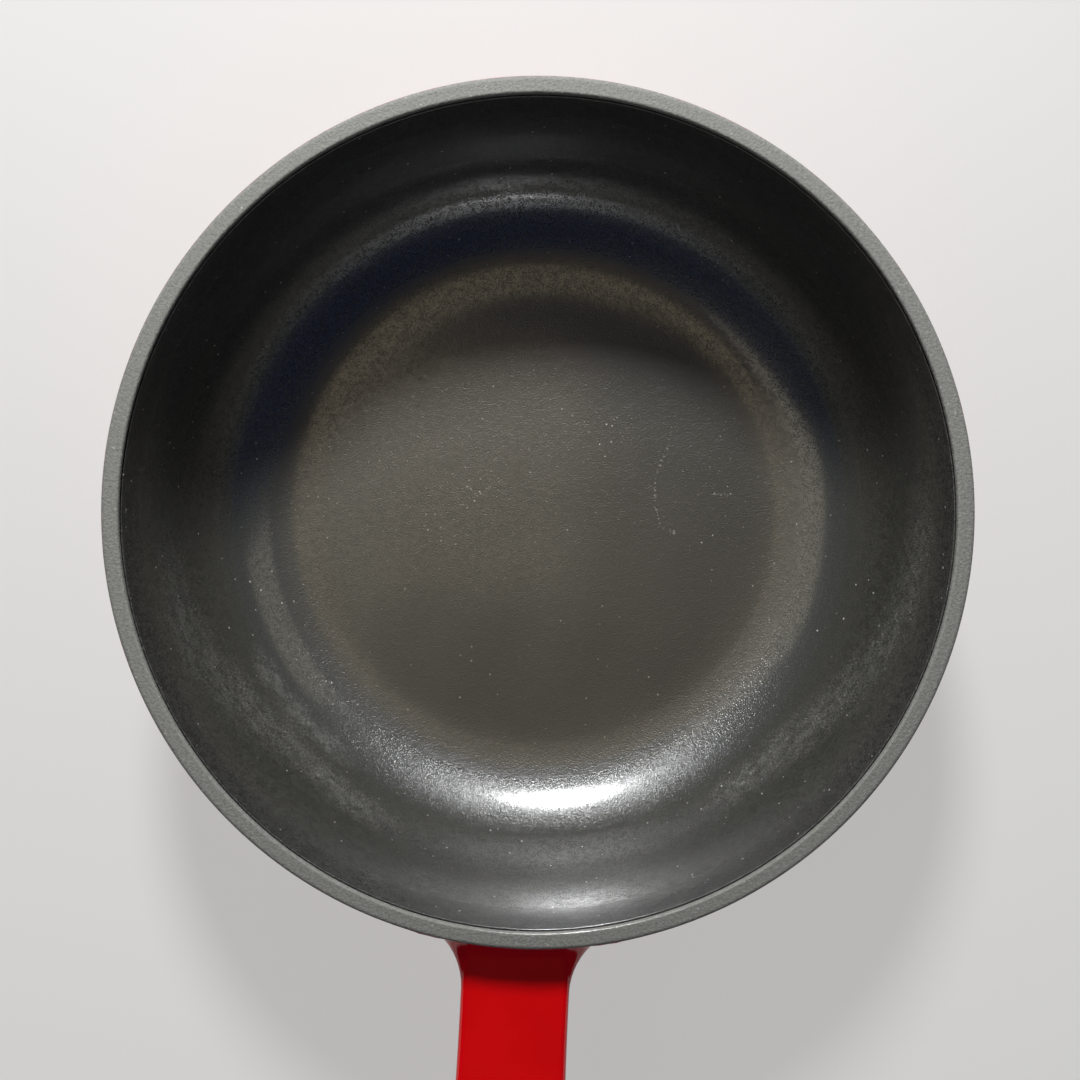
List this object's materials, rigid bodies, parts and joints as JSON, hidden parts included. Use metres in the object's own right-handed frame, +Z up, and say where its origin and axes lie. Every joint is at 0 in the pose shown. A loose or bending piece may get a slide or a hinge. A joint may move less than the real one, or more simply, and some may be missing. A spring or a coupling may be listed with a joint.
{
  "type": "enamelled cast-iron pan",
  "caption": "Round deep enamelled cast-iron pan with a satin dark lining, a matt rim, a gloss outside and a cast handle with a hanging slot.",
  "frame": {"origin": "on the bowl's axis, on the flat base that the pan stands on", "axes": "+Z up along the bowl's axis, out of its mouth; the handle runs out along -Y; +X to the right of a person who holds the handle and looks at the bowl"},
  "size_m": [0.2, 0.3513, 0.0686],
  "materials": {
    "pan_casting": "matte",
    "interior_enamel": "satin",
    "rim_enamel": "matte",
    "exterior_enamel": "gloss",
    "base_enamel": "satin"
  },
  "bodies": {
    "root": {"pan_casting": "pan_casting", "interior_enamel": "interior_enamel", "rim_enamel": "rim_enamel", "exterior_enamel": "exterior_enamel", "base_enamel": "base_enamel"}
  },
  "joints": []
}
